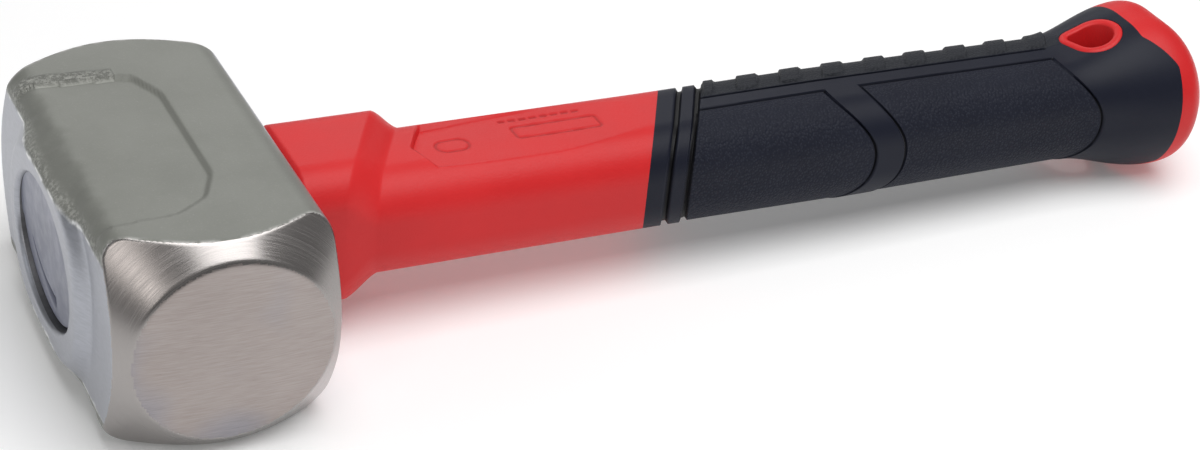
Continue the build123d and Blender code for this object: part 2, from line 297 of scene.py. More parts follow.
def follow_grip(along, y, z):
    """Slanted start, bowed panel ends on the near side, slanted ribs on the far side, stepped end."""
    bow_places = [SECOND_GROOVE, FRONT_PANEL_END, REAR_PANEL_START, REAR_PANEL_END, GRIP_END]
    bow = np.interp(along, bow_places, [0.0, PANEL_BOW, PANEL_START_BOW, PANEL_BOW, 0.0])
    near_lean = np.interp(along, [SECOND_GROOVE, FRONT_PANEL_END], [1.0, 0.0])
    near = near_lean * SLANT * y - bow * np.minimum(z / NECK_Z, 1.2) ** 2
    far = (1 - smooth_step(FLARE_START, GRIP_END - 5, along)) * SLANT * y
    ribbed = smooth_step(PANEL_EDGE_Y, RIB_EDGE_Y, y)
    step = smooth_step(REAR_PANEL_END, GRIP_END, along) * grip_step(y)
    return near + (far - near) * ribbed + step


def follow_cap(along, y, z):
    """From the grip's stepped end to the square end of the butt."""
    return np.clip((BUTT_END - along) / (BUTT_END - GRIP_END), 0.0, 1.0) ** 2 * grip_step(y)


def fine_steps(start, end, step, marks=(), near=1.2, fine=0.2):
    """Places from start to end, closer together near the marks."""
    places = [start]
    while places[-1] < end:
        close = any(abs(places[-1] - mark) < near for mark in marks)
        places.append(places[-1] + (fine if close else step))
    places[-1] = end
    return np.array(places)


# ---------------------------------------------------------------- head

def field_distance(x, y):
    """Distance outwards from the edge of the shallow field on a cheek.
    After the long side, each side has its direction in x and y and its distance from the middle."""
    end = np.where(y > 0, RECESS_FAR_Y, RECESS_NEAR_Y)
    distance = x - RECESS_SIDE_X
    for toward_x, toward_y, offset in ((0.91, 0.415, 10.67), (0.543, 0.84, 20.93), (0.075, 0.997, end)):
        distance = smooth_max(distance, toward_x * x + toward_y * np.abs(y) - offset, 0.8)
    return distance


def ripple(x, y, scale, seed):
    """Cheap repeatable waviness between -1 and 1."""
    total = 0.0
    for index in range(1, 5):
        phase = seed * 1.7 + index * 2.3
        bend = 1.3 * np.sin(y * scale * 0.7 * index + phase)
        total = total + np.sin(x * scale * index + phase + bend) / index
    return total / 2.1


def head_parts(points):
    """Distances from the long sides, the turned cones and the domed faces."""
    x, y, z = points[:, 0], points[:, 1], points[:, 2]
    out = ((np.abs(y) / BOSS_Y) ** BOSS_POWER + (np.abs(z) / BOSS_Z) ** BOSS_POWER) ** (1 / BOSS_POWER)
    boss = BOSS_HEIGHT * (1 - smooth_step(BOSS_TOP, BOSS_FOOT, out))
    side = np.where(x < 0, -x - boss, x)
    # The recess has a rough edge where it meets the scale at its far end.
    rough = SCALE_HEIGHT * ripple(x, y, 1.1, 1) * smooth_step(18.0, 22.0, y)
    sink = RECESS_DEPTH * (1 - smooth_step(-0.55, 0.55, field_distance(x, y) + rough))
    # Forged waviness along the edges on the eye side, short of the cones.
    lump = smooth_step(16.0, 20.5, -x) * smooth_step(13.0, 18.0, np.abs(z))
    lump = lump * (1 - smooth_step(30.0, 36.0, np.abs(y)))
    lift = np.abs(z) + sink + LUMP_HEIGHT * lump * ripple(y, z, 0.45, 2)
    radius = np.where(x < 0, EYE_SIDE_RADIUS, HEAD_EDGE_RADIUS)
    over_x = side - HEAD_WIDTH / 2 + radius
    over_z = lift - HEAD_HEIGHT / 2 + radius
    outside = np.hypot(np.maximum(over_x, 0), np.maximum(over_z, 0))
    long_sides = outside + np.minimum(np.maximum(over_x, over_z), 0) - radius
    reach = np.hypot(np.where(x > 0, HANDLE_SIDE_FULLNESS * x, x), z)
    crown = HEAD_LENGTH / 2 - CROWN_RISE
    cone = ((reach - FACE_RADIUS) - CONE_SLOPE * (crown - np.abs(y))) / math.hypot(1, CONE_SLOPE)
    face = np.abs(y) - (HEAD_LENGTH / 2 - CROWN_RISE * (reach / FACE_RADIUS) ** 2)
    return long_sides, cone, face


def head_distance(points):
    """Distance outwards from the head's skin, with its sides, cones and faces blended."""
    long_sides, cone, face = head_parts(points)
    return smooth_max(smooth_max(long_sides, cone, 0.4), face, 0.5)


def box_grid(step):
    """Points and quads of a box's surface, with grid lines about step apart."""
    half = np.array([HEAD_WIDTH, HEAD_LENGTH, HEAD_HEIGHT]) / 2
    lookup, points, faces = {}, [], []
    counts = [max(2, int(round(2 * size / step))) for size in half]
    for axis in range(3):
        u_axis, v_axis = (axis + 1) % 3, (axis + 2) % 3
        for sign in (-1, 1):
            for u in range(counts[u_axis]):
                for v in range(counts[v_axis]):
                    corners = []
                    for du, dv in ((0, 0), (1, 0), (1, 1), (0, 1)):
                        key = [0, 0, 0]
                        key[axis] = counts[axis] if sign > 0 else 0
                        key[u_axis], key[v_axis] = u + du, v + dv
                        key = tuple(key)
                        if key not in lookup:
                            lookup[key] = len(points)
                            points.append([2 * half[i] * key[i] / counts[i] - half[i] for i in range(3)])
                        corners.append(lookup[key])
                    faces.append(tuple(corners) if sign > 0 else tuple(reversed(corners)))
    return np.array(points), faces


def eye_sizes(x):
    """Half width and half height of the tapered eye at x."""
    share = (x + HEAD_WIDTH / 2 + BOSS_HEIGHT) / (HEAD_WIDTH + BOSS_HEIGHT)
    half_y = EYE_TOP_Y + (EYE_BOTTOM_Y - EYE_TOP_Y) * share
    half_z = EYE_TOP_Z + (EYE_BOTTOM_Z - EYE_TOP_Z) * share
    return half_y, half_z


def eye_loop(x, count, grow):
    """Oval of the tapered eye at x, larger all round by grow."""
    half_y, half_z = eye_sizes(x)
    turn = np.arange(count) / count * 2 * math.pi
    oval = [np.full(count, x), (half_y + grow) * np.cos(turn), (half_z + grow) * np.sin(turn)]
    return np.stack(oval, axis=-1)


def paint_head(head):
    """Where the lacquer lies on the cheeks and where it is scaled or worn through, with painted shade
    along the recess's edge and a painted highlight where the lacquer stops on the eye side.
    """
    points = drawing_points(head)
    x, y, z = points.T
    lift = np.abs(z) - HEAD_HEIGHT / 2 + HEAD_EDGE_RADIUS
    # Positive under the lacquer, which reaches further down the rounded edges on the eye side.
    skin = lift - 1.0 - 3.6 * smooth_step(-5, 10, x) + 0.2 * ripple(y, x, 0.5, 4)
    paint(head, "lacquer", smooth_step(-0.5, 0.5, skin))
    field = field_distance(x, y)
    on_cheek = smooth_step(-1.0, 3.0, lift)
    # Painted shade: a dark line along the recess's edge, where its step lies in shade.
    paint(head, "recess_edge_shade", np.exp(-(field / 0.55) ** 2) * on_cheek)
    # Coarse scale just outside the recess's far end, and along the lacquer's edge on the eye side.
    band = smooth_step(0.0, 0.5, field) * (1 - smooth_step(3.0, 3.6, field))
    band = band * smooth_step(21.0, 23.5, y) * (1 - smooth_step(-3.2, -2.4, x))
    seam = smooth_step(-0.2, 0.3, skin) * (1 - smooth_step(1.0, 2.8, skin)) * (x < 0)
    paint(head, "rough_band", np.maximum(band, 0.8 * seam) * on_cheek)
    # Painted highlight: a bright line along the ridge where the lacquer stops on the eye side.
    rim = (1 - smooth_step(0.15, 0.5, np.abs(skin))) * smooth_step(8.0, 14.0, -x)
    paint(head, "lacquer_rim_highlight", rim)
    # Lacquer worn off the ridges where the turned cones cut the long sides.
    long_sides, cone, _ = head_parts(points)
    paint(head, "worn_edge", np.exp(-((long_sides - cone) / 0.35) ** 2))


def make_head():
    """Forged head: a box pushed in to the head's skin, with the tapered eye cut through it."""
    points, faces = box_grid(HEAD_GRID_STEP)
    near, far = np.full(len(points), 0.3), np.full(len(points), 1.2)
    for _ in range(36):
        middle = (near + far) / 2
        outside = head_distance(points * middle[:, None]) > 0
        far = np.where(outside, middle, far)
        near = np.where(outside, near, middle)
    head = new_piece("forged_head", points * near[:, None], faces, "hammer_head")

    mouth = -HEAD_WIDTH / 2 - BOSS_HEIGHT
    flare = [(-1.2, 2.2), (-0.05, 1.0), (0.12, 0.6), (0.4, 0.25), (0.9, 0.0)]
    steps = [(mouth + inward, grow) for inward, grow in flare]
    steps += [(x, 0.0) for x in np.linspace(mouth + 4, HEAD_WIDTH / 2 + 1.5, 6)]
    loops = np.array([eye_loop(x, EYE_PLACES, grow) for x, grow in steps])
    tool_points, tool_faces = closed_stack(loops)
    cut(head, new_piece("eye_tool", tool_points, tool_faces, None))

    paint_head(head)
    centres = face_centres(head)
    long_sides, cone, face = head_parts(centres)
    kinds = np.where(face > cone, 2, np.where(cone > long_sides, 1, 0))
    kinds = np.where(face_in_eye(centres), 3, kinds)
    for build in (forged_skin, turned_cone, struck_face, eye_wall):
        head.data.materials.append(build())
    head.data.polygons.foreach_set("material_index", kinds.astype(np.int32))
    head.data.set_sharp_from_angle(angle=math.radians(40))


def face_in_eye(centres):
    """Faces on the wall of the eye."""
    half_y, half_z = eye_sizes(centres[:, 0])
    out = np.hypot(centres[:, 1] / half_y, centres[:, 2] / half_z)
    return (out < 1.01) & (centres[:, 0] > -HEAD_WIDTH / 2 - BOSS_HEIGHT + 0.7)


def crease_depth(y, z):
    """Depth of the curved crease in the set resin; it is widest at its near end."""
    bend = z - CREASE_Z - CREASE_LEAN * y - CREASE_BEND * y ** 2
    wide = 0.45 + 0.6 * (1 - smooth_step(-3.0, 6.0, y))
    along = smooth_step(-4.2, -3.0, y) * (1 - smooth_step(9.0, 13.5, y))
    hollow = CREASE_DEPTH * np.exp(-(bend / wide) ** 2)
    lip = CREASE_LIP * np.exp(-((bend - 1.8) / 0.9) ** 2)
    return along * (hollow - lip)


def make_resin():
    """Cast resin in the eye: a dished top with a curved crease, round the core's end."""
    top = -HEAD_WIDTH / 2 - BOSS_HEIGHT + RESIN_SINK
    rings = np.concatenate([np.linspace(0.01, 0.3, 14), np.linspace(0.31, 1.0, 110)])
    rim = eye_loop(top, RESIN_PLACES, 0.0)
    loops = []
    for share in rings:
        loop = rim * [1, share, share]
        y, z = loop[:, 1], loop[:, 2]
        dish = 0.3 * (1 - share ** 2) + 0.5 - RESIN_LEAN * z
        gap = RIM_GAP * smooth_step(0.93, 0.985, share) * smooth_step(1.0, 8.0, -z)
        loop[:, 0] = top + dish + gap + crease_depth(y, z)
        loops.append(loop)
    for x in np.linspace(top + 4, HEAD_WIDTH / 2, 8):
        loops.append(eye_loop(x, RESIN_PLACES, 0.0))
    turn = np.arange(RESIN_PLACES) / RESIN_PLACES * 2 * math.pi
    core = np.stack([np.zeros(RESIN_PLACES), CORE_Y * np.cos(turn), CORE_Z * np.sin(turn)], axis=-1)
    for x in np.linspace(HEAD_WIDTH / 2, CORE_START, 6):
        loops.append(core + [x, 0, 0])
    points, faces = closed_stack(np.array(loops))
    resin = new_piece("eye_fill", points, faces, "eye_resin")
    points = drawing_points(resin)
    # Painted shade: the deep part of the crease is marked to be coloured nearly black.
    sunk = crease_depth(points[:, 1], points[:, 2]) * (points[:, 0] < top + 5)
    paint(resin, "crease", smooth_step(0.5, 1.4, sunk))
    resin.data.materials.append(cast_resin())
    resin.data.set_sharp_from_angle(angle=math.radians(50))


# ---------------------------------------------------------------- handle

def line_groove(distance, half_width, depth):
    """Narrow groove along distance = 0."""
    return -depth * (1 - smooth_step(half_width * 0.55, half_width * 1.35, np.abs(distance)))


def panel_distance(x, y, z):
    """Distance inwards from the border of the nearer smooth panel."""
    bow = (z / NECK_Z) ** 2
    lean = x - SLANT * y
    side = PANEL_EDGE_Y - y
    front = np.minimum(np.minimum(side, lean - SECOND_GROOVE), FRONT_PANEL_END - PANEL_BOW * bow - x)
    rear_start = REAR_PANEL_START - PANEL_START_BOW * bow
    rear = np.minimum(np.minimum(side, x - rear_start), REAR_PANEL_END - PANEL_BOW * bow - x)
    return np.maximum(front, rear)


def rib_field_distance(x, y):
    """Distance inwards from the border of the ribbed strip."""
    return np.minimum(y - RIB_EDGE_Y, 2.0 * (x - SLANT * y - SECOND_GROOVE) - RIB_GAP)


def grip_relief(x, y, z):
    """Height of ring grooves, border lines, sunk panels and cross ribs over the plain skin."""
    lean = x - SLANT * y
    height = line_groove(lean - FIRST_GROOVE, GROOVE_HALF, GROOVE_DEPTH)
    height = height + line_groove(lean - SECOND_GROOVE, GROOVE_HALF, GROOVE_DEPTH)
    panel = panel_distance(x, y, z)
    past_groove = smooth_step(0.8, 1.2, lean - SECOND_GROOVE)
    height = height + line_groove(panel, BORDER_HALF, BORDER_DEPTH) * past_groove
    height = height - PANEL_SINK * smooth_step(0.0, 0.7, panel)
    beside_ribs = past_groove * (1 - smooth_step(RIBS_END - 0.3, RIBS_END + 0.3, lean))
    height = height + line_groove(y - RIB_EDGE_Y, BORDER_HALF, BORDER_DEPTH) * beside_ribs
    step = (lean - RIB_FIRST + RIB_PITCH / 2) % RIB_PITCH - RIB_PITCH / 2
    ribs = 1 - smooth_step(RIB_LENGTH / 2 - 0.15, RIB_LENGTH / 2 + 0.15, np.abs(step))
    ribs = ribs * smooth_step(RIB_GAP - 0.3, RIB_GAP, rib_field_distance(x, y))
    ribs = ribs * np.where(lean < RIBS_END + 0.5, 1.0, 0.0)
    return height + RIB_HEIGHT * ribs


def drop_loop(grow):
    """Outline of the hang hole, larger all round by grow: a round end, a small tip and straight sides."""
    big, small = HOLE_RADIUS + grow, TIP_RADIUS + grow
    toward = math.atan2(TIP_DY, TIP_DX)
    distance = math.hypot(TIP_DX, TIP_DY)
    open_angle = math.acos((big - small) / distance)
    arc_big = 2 * (math.pi - open_angle)
    arc_small = 2 * open_angle
    straight = math.sqrt(distance ** 2 - (big - small) ** 2)
    lengths = [arc_big * big, straight, arc_small * small, straight]
    ends = np.concatenate([[0], np.cumsum(lengths)])
    outline = []
    for place in np.arange(HOLE_PLACES) / HOLE_PLACES * ends[-1]:
        part = int(np.searchsorted(ends, place, side="right") - 1)
        share = (place - ends[part]) / lengths[part]
        leave = toward + open_angle
        back = toward - open_angle
        if part == 0:
            turn = leave + share * arc_big
            outline.append((big * math.cos(turn), big * math.sin(turn)))
        elif part == 2:
            turn = back + share * arc_small
            outline.append((TIP_DX + small * math.cos(turn), TIP_DY + small * math.sin(turn)))
        else:
            turn = back if part == 1 else leave
            start = (big * math.cos(turn), big * math.sin(turn))
            end = (TIP_DX + small * math.cos(turn), TIP_DY + small * math.sin(turn))
            if part == 3:
                start, end = end, start
            outline.append([low + (high - low) * share for low, high in zip(start, end)])
    return np.array(outline) + [HOLE_X, HOLE_Y]


def skin_height(x, y):
    """Height of the butt's cheek side above the axis at x, y."""
    half_y, half_z, radius, shift = handle_sizes(x, x - SLANT * y)
    past = np.maximum(np.abs(y - shift) - (half_y - radius), 0.0)
    return half_z - radius + np.sqrt(np.maximum(radius ** 2 - past ** 2, 0.0))


def drop_prism(grow, name):
    """Cutter through the butt in the hang hole's outline, larger all round by grow."""
    outline = drop_loop(grow)
    loops = [np.column_stack([outline, np.full(len(outline), z)]) for z in np.linspace(-26, 26, 6)]
    points, faces = closed_stack(np.array(loops))
    return new_piece(name, points, faces, None)


def eyelet():
    """Red tube round the hang hole, with a rounded lip that stands a little proud of the grip."""
    profile = []
    for side in (1, -1):
        for turn in np.linspace(0, math.pi, 9):
            grow = EYELET_WALL / 2 * (1 - side * math.cos(turn))
            profile.append((grow, LIP_RISE * math.sin(turn) - LIP_SINK, side))
        wall = EYELET_WALL if side > 0 else 0.0
        profile += [(wall, side * share, 0) for share in (0.5, -0.5)]
    loops = []
    for grow, rise, side in profile:
        outline = drop_loop(grow)
        height = skin_height(outline[:, 0], outline[:, 1])
        z = side * (height + rise) if side else rise * height
        loops.append(np.column_stack([outline, z]))
    loops = np.array(loops)
    faces = loop_faces(loops.shape[0], loops.shape[1], True)
    return new_piece("eyelet_tool", loops.reshape(-1, 3), faces, None)


def outward(piece):
    """Turns all faces outwards."""
    mesh = bmesh.new()
    mesh.from_mesh(piece.data)
    bmesh.ops.recalc_face_normals(mesh, faces=mesh.faces)
    mesh.to_mesh(piece.data)
    mesh.free()


def make_grip():
    """Soft grip: a sleeve with grooves, panels and ribs, cut through for the hang hole."""
    ring = Ring(GRIP_PLACES, [PANEL_EDGE_Y, RIB_EDGE_Y])
    marks = [FIRST_GROOVE, SECOND_GROOVE, FRONT_PANEL_END, REAR_PANEL_START, REAR_PANEL_END]
    along = fine_steps(GRIP_START, GRIP_END, GRIP_STEP, marks, near=1.0, fine=GRIP_FINE_STEP)
    outer = skin_points(ring, along, follow_grip, grip_relief)
    inner = skin_points(ring, along[::-14], follow_grip, None, SKIN)
    loops = np.concatenate([outer, inner])
    faces = loop_faces(loops.shape[0], loops.shape[1], True)
    grip = new_piece("soft_grip", loops.reshape(-1, 3), faces, "grip_overmould")
    outward(grip)
    cut(grip, drop_prism(EYELET_WALL, "grip_hole_tool"))
    points = drawing_points(grip)
    x, y, z = points.T
    panel = smooth_step(0.2, 0.7, panel_distance(x, y, z))
    strip = smooth_step(0.2, 0.7, rib_field_distance(x, y))
    strip = strip * (1 - smooth_step(FLARE_START, FLARE_START + 8, x))
    paint(grip, "grain", np.maximum(panel, strip))
    paint(grip, "strip", strip)
    lean = x - SLANT * y
    rings = np.minimum(np.abs(lean - FIRST_GROOVE), np.abs(lean - SECOND_GROOVE)) - GROOVE_HALF / 2
    borders = np.abs(panel_distance(x, y, z))
    with_strip = np.minimum(borders, np.abs(rib_field_distance(x, y)))
    borders = np.where(lean > RIBS_END, borders, with_strip)
    # Painted shade: the grooves and border lines are marked to be coloured darker.
    paint(grip, "groove", 1 - smooth_step(0.1, 0.4, np.minimum(rings, borders)))
    grip.data.materials.append(soft_black())
    grip.data.set_sharp_from_angle(angle=math.radians(50))


def name_field_distance(x, y):
    """Distance inwards from the edge of the shallow field on the neck."""
    slanted = x - SLANT * y - NAME_START
    bevel = 0.942 * (x - NAME_BEVEL_X) + 0.335 * (y - NAME_BEVEL_Y)
    near_side = y - NAME_NEAR_Y + NAME_NEAR_LEAN * (x - NAME_NEAR_X)
    return np.minimum(np.minimum(slanted, bevel), np.minimum(NAME_SIDE_Y - y, near_side))


def box_outline(x, y, middle_x, middle_y, half_x, half_y, radius):
    """Distance from a rounded rectangle's outline; negative inside."""
    over_x = np.abs(x - middle_x) - half_x + radius
    over_y = np.abs(y - middle_y) - half_y + radius
    outside = np.hypot(np.maximum(over_x, 0), np.maximum(over_y, 0))
    return outside + np.minimum(np.maximum(over_x, over_y), 0) - radius


def neck_marks(x, y):
    """Plain engraved marks in the field: a rounded lens shape, a frame and a row of dashes."""
    lens = np.abs(box_outline(x, y, LENS_X, 0.0, LENS_HALF_X, LENS_HALF_Y, LENS_CORNER))
    level = y + MARK_LEAN * (x - FRAME_X)
    window = np.abs(box_outline(x, level, FRAME_X, FRAME_Y, FRAME_HALF_X, FRAME_HALF_Y, FRAME_CORNER))
    across = np.abs(level - ROW_Y) - DASH_HALF_WIDTH
    within = np.abs(x % DASH_PITCH - DASH_PITCH / 2) - DASH_HALF_LENGTH
    dashes = np.maximum(np.maximum(across, within), np.abs(x - ROW_X) - ROW_HALF)
    engraved = 1 - smooth_step(0.12, 0.42, np.minimum(lens, window))
    return np.maximum(engraved, 1 - smooth_step(-0.1, 0.2, dashes))


def neck_relief(x, y, z):
    """Height of the shallow field, its marks and the bevel at the head over the plain skin."""
    on_cheek = smooth_step(2.0, 4.0, np.abs(z))
    far_side = np.clip((y + NAME_SIDE_Y) / (2 * NAME_SIDE_Y), 0.0, 1.0)
    far_side = far_side * np.clip((NAME_LEVEL_X - x) / (NAME_LEVEL_X - COLLAR_FOOT), 0.0, 1.0)
    depth = (NAME_DEPTH + NAME_EXTRA_DEPTH * far_side) * (1 - smooth_step(NAME_FADE, NAME_END, x))
    inside = smooth_step(-0.1, 0.3, name_field_distance(x, y))
    height = -np.maximum(np.abs(z) - NECK_Z + depth, 0.0) * inside * on_cheek
    height = height - MARK_DEPTH * neck_marks(x, y) * on_cheek
    front = np.clip((HEAD_WIDTH / 2 + COLLAR_CHAMFER - x) / COLLAR_CHAMFER, 0.0, 1.0)
    return height - COLLAR_CHAMFER * front ** 1.3


def make_jacket():
    """Red moulding: neck, carrier under the grip and cap, hollow for the core, with the eyelet."""
    ring = Ring(JACKET_PLACES)
    start = HEAD_WIDTH / 2
    neck = fine_steps(start, GRIP_START, JACKET_STEP, [start])
    neck_loops = skin_points(ring, neck, follow_collar, neck_relief)
    carrier = skin_points(ring, np.linspace(GRIP_START, GRIP_END, 40), follow_grip, None, SKIN)
    turns = np.linspace(0.0, math.asin((BUTT_END - BUTT_WIDEST_Y) / (DOME_APEX - BUTT_WIDEST_Y)), 40)
    dome = BUTT_WIDEST_Y + (DOME_APEX - BUTT_WIDEST_Y) * np.sin(turns)
    cap = np.concatenate([fine_steps(GRIP_END, BUTT_WIDEST_Y, CAP_STEP), dome[1:]])
    cap_loops = skin_points(ring, cap, follow_cap)
    edge = skin_points(ring, [BUTT_END], follow_nothing, None, 0.6)
    core = []
    for x in np.linspace(CORE_END, start, 10):
        y = ring.a * (CORE_Y - CORE_RADIUS) + ring.ny * CORE_RADIUS
        z = ring.b * (CORE_Z - CORE_RADIUS) + ring.nz * CORE_RADIUS
        core.append(np.stack([np.full_like(y, x), y, z], axis=-1))
    loops = np.concatenate([np.array(core), neck_loops, carrier, cap_loops, edge])
    points, faces = closed_stack(loops)
    jacket = new_piece("red_jacket", points, faces, "handle_jacket")
    outward(jacket)
    tool = eyelet()
    outward(tool)
    cut(jacket, drop_prism(EYELET_WALL * 0.5, "jacket_hole_tool"))
    cut(jacket, tool, "UNION")
    points = drawing_points(jacket)
    x, y, z = points.T
    marks = neck_marks(x, y) * smooth_step(2.0, 4.0, np.abs(z))
    paint(jacket, "marks", np.where((x > COLLAR_FOOT) & (x < GRIP_START), marks, 0.0))
    jacket.data.materials.append(moulded_red())
    jacket.data.set_sharp_from_angle(angle=math.radians(40))


# ---------------------------------------------------------------- materials

class Nodes:
    """Short way to write a material's node graph."""

    def __init__(self, name):
        self.material = bpy.data.materials.new(name)
        self.material.use_nodes = True
        self.tree = self.material.node_tree
        self.shader = self.tree.nodes["Principled BSDF"]
        self.place = self.add("ShaderNodeTexCoord").outputs["Object"]

    def add(self, kind, **settings):
        node = self.tree.nodes.new(kind)
        for key, value in settings.items():
            setattr(node, key, value)
        return node

    def feed(self, socket, value):
        if hasattr(value, "is_output"):
            self.tree.links.new(value, socket)
        else:
            socket.default_value = value

    def set(self, **values):
        for key, value in values.items():
            self.feed(self.shader.inputs[key.replace("_", " ")], value)

    def scaled(self, x, y, z, turn=(0, 0, 0)):
        """Object coordinates scaled and turned."""
        node = self.add("ShaderNodeMapping")
        node.inputs["Scale"].default_value = (x, y, z)
        node.inputs["Rotation"].default_value = turn
        self.tree.links.new(self.place, node.inputs["Vector"])
        return node.outputs["Vector"]

    def noise(self, vector, scale, detail=4.0, rough=0.55):
        node = self.add("ShaderNodeTexNoise")
        self.feed(node.inputs["Vector"], vector)
        self.feed(node.inputs["Scale"], scale)
        self.feed(node.inputs["Detail"], detail)
        self.feed(node.inputs["Roughness"], rough)
        return node.outputs["Fac"]

    def cells(self, vector, scale):
        node = self.add("ShaderNodeTexVoronoi")
        self.feed(node.inputs["Vector"], vector)
        self.feed(node.inputs["Scale"], scale)
        return node.outputs["Distance"]

    def ramp(self, value, low, high, start=0.0, end=1.0):
        """Softly from start to end as value goes from low to high."""
        node = self.add("ShaderNodeMapRange", interpolation_type="SMOOTHSTEP")
        self.feed(node.inputs["Value"], value)
        self.feed(node.inputs["From Min"], low)
        self.feed(node.inputs["From Max"], high)
        self.feed(node.inputs["To Min"], start)
        self.feed(node.inputs["To Max"], end)
        return node.outputs["Result"]

    def math(self, operation, first, second=0.0):
        node = self.add("ShaderNodeMath", operation=operation)
        self.feed(node.inputs[0], first)
        self.feed(node.inputs[1], second)
        return node.outputs[0]

    def mix(self, share, first, second):
        node = self.add("ShaderNodeMix", data_type="RGBA")
        self.feed(node.inputs[0], share)
        self.feed(node.inputs[6], first)
        self.feed(node.inputs[7], second)
        return node.outputs[2]

    def painted(self, name):
        """One of the mesh's painted attributes."""
        node = self.add("ShaderNodeAttribute")
        node.attribute_name = name
        return node.outputs["Fac"]

    def bump(self, height, distance, strength=1.0, normal=None):
        node = self.add("ShaderNodeBump")
        self.feed(node.inputs["Height"], height)
        self.feed(node.inputs["Distance"], distance)
        self.feed(node.inputs["Strength"], strength)
        if normal is not None:
            self.feed(node.inputs["Normal"], normal)
        return node.outputs["Normal"]


def rgb(red, green, blue):
    return (red, green, blue, 1.0)


def forged_skin():
    """Blasted steel under olive grey lacquer on the cheeks, bare ground steel on the other sides; painted
    shade along the recess's edge and a painted highlight where the lacquer stops on the eye side.
    """
    n = Nodes("forged_skin")
    lacquer = n.painted("lacquer")
    edge = n.painted("recess_edge_shade")
    cloud = n.noise(n.place, 60, 5)
    speck = n.noise(n.place, 2600, 3, 0.7)
    coat = n.mix(n.ramp(cloud, 0.3, 0.7), rgb(0.215, 0.22, 0.198), rgb(0.24, 0.245, 0.222))
    coat = n.mix(n.ramp(speck, 0.56, 0.72, 0.0, 0.35), coat, rgb(0.34, 0.34, 0.31))
    # Painted shade: the lacquer darkens along the recess's edge.
    coat = n.mix(n.math("MULTIPLY", edge, 0.3), coat, rgb(0.12, 0.12, 0.10))
    crumbs = n.noise(n.place, 1100, 5, 0.75)
    scale = n.math("MULTIPLY", n.painted("rough_band"), n.ramp(crumbs, 0.45, 0.6))
    coat = n.mix(n.math("MULTIPLY", scale, 0.8), coat, rgb(0.55, 0.55, 0.51))
    worn = n.math("MULTIPLY", n.painted("worn_edge"), n.ramp(n.noise(n.place, 260, 4), 0.45, 0.6))
    coat = n.mix(worn, coat, rgb(0.55, 0.54, 0.52))
    lines = n.noise(n.scaled(120, 500, 2600), 1.0, 4, 0.6)
    bare = n.mix(n.ramp(lines, 0.25, 0.75), rgb(0.35, 0.36, 0.39), rgb(0.41, 0.42, 0.46))
    # Painted highlight: near white along the ridge where the lacquer stops on the eye side.
    rim = n.math("MULTIPLY", n.painted("lacquer_rim_highlight"), n.ramp(n.noise(n.place, 240, 3), 0.42, 0.58))
    n.set(Base_Color=n.mix(rim, n.mix(lacquer, bare, coat), rgb(0.85, 0.85, 0.85)))
    n.set(Metallic=n.ramp(lacquer, 0.0, 1.0, 1.0, 0.35))
    n.set(Roughness=n.ramp(lacquer, 0.0, 1.0, 0.36, 0.48))
    fine = n.bump(speck, 0.00003)
    rough = n.bump(n.math("MULTIPLY", crumbs, n.painted("rough_band")), 0.0009, 1.0, fine)
    n.set(Normal=n.bump(n.math("MULTIPLY", lines, n.math("SUBTRACT", 1.0, lacquer)), 0.000008, 1.0, rough))
    return n.material


def steel_lines(n, vector, distance, dark, light, roughness):
    """Bare steel with fine lines from noise stretched along one direction."""
    lines = n.noise(vector, 1.0, 5, 0.65)
    blotch = n.noise(n.place, 45, 3)
    tone = n.math("ADD", n.math("MULTIPLY", lines, 0.7), n.math("MULTIPLY", blotch, 0.3))
    n.set(Base_Color=n.mix(n.ramp(tone, 0.3, 0.7), dark, light), Metallic=1.0)
    n.set(Roughness=n.ramp(lines, 0.25, 0.75, roughness - 0.06, roughness + 0.06))
    n.set(Normal=n.bump(lines, distance))


def turned_cone():
    """Bare steel with fine rings turned round the striking axis."""
    n = Nodes("turned_cone")
    apart = n.add("ShaderNodeSeparateXYZ")
    n.feed(apart.inputs[0], n.place)
    rings = n.add("ShaderNodeCombineXYZ")
    n.feed(rings.inputs[0], n.math("MULTIPLY", apart.outputs[1], 9000.0))
    n.feed(rings.inputs[1], n.math("MULTIPLY", apart.outputs[0], 60.0))
    n.feed(rings.inputs[2], n.math("MULTIPLY", apart.outputs[2], 60.0))
    steel_lines(n, rings.outputs[0], 0.000002, rgb(0.33, 0.31, 0.30), rgb(0.37, 0.35, 0.34), 0.23)
    tangent = n.add("ShaderNodeTangent", direction_type="RADIAL", axis="Y")
    n.set(Anisotropic=0.7, Tangent=tangent.outputs[0])
    return n.material


def struck_face():
    """Ground steel with straight lines and faint warm and cool patches."""
    n = Nodes("struck_face")
    patch = n.ramp(n.noise(n.place, 28, 2), 0.42, 0.58)
    dark = n.mix(patch, rgb(0.31, 0.27, 0.255), rgb(0.25, 0.24, 0.26))
    light = n.mix(patch, rgb(0.40, 0.36, 0.345), rgb(0.33, 0.32, 0.345))
    steel_lines(n, n.scaled(190, 400, 4200, (0, 0.06, 0)), 0.000005, dark, light, 0.33)
    return n.material


def eye_wall():
    """Dark, rough wall of the eye."""
    n = Nodes("eye_wall")
    steel_lines(n, n.scaled(400, 900, 900), 0.00004, rgb(0.12, 0.12, 0.125), rgb(0.18, 0.18, 0.19), 0.5)
    return n.material


def cast_resin():
    """Blue grey epoxy, with painted shade that makes it nearly black down in the crease."""
    n = Nodes("cast_resin")
    cloud = n.noise(n.place, 90, 4)
    tone = n.mix(n.ramp(cloud, 0.3, 0.7), rgb(0.17, 0.18, 0.24), rgb(0.23, 0.24, 0.31))
    # Painted shade: nearly black down in the crease.
    n.set(Base_Color=n.mix(n.painted("crease"), tone, rgb(0.01, 0.01, 0.012)))
    n.set(Roughness=n.ramp(n.noise(n.place, 300, 3), 0.3, 0.7, 0.28, 0.42))
    n.set(Normal=n.bump(n.noise(n.place, 160, 3), 0.0002))
    return n.material


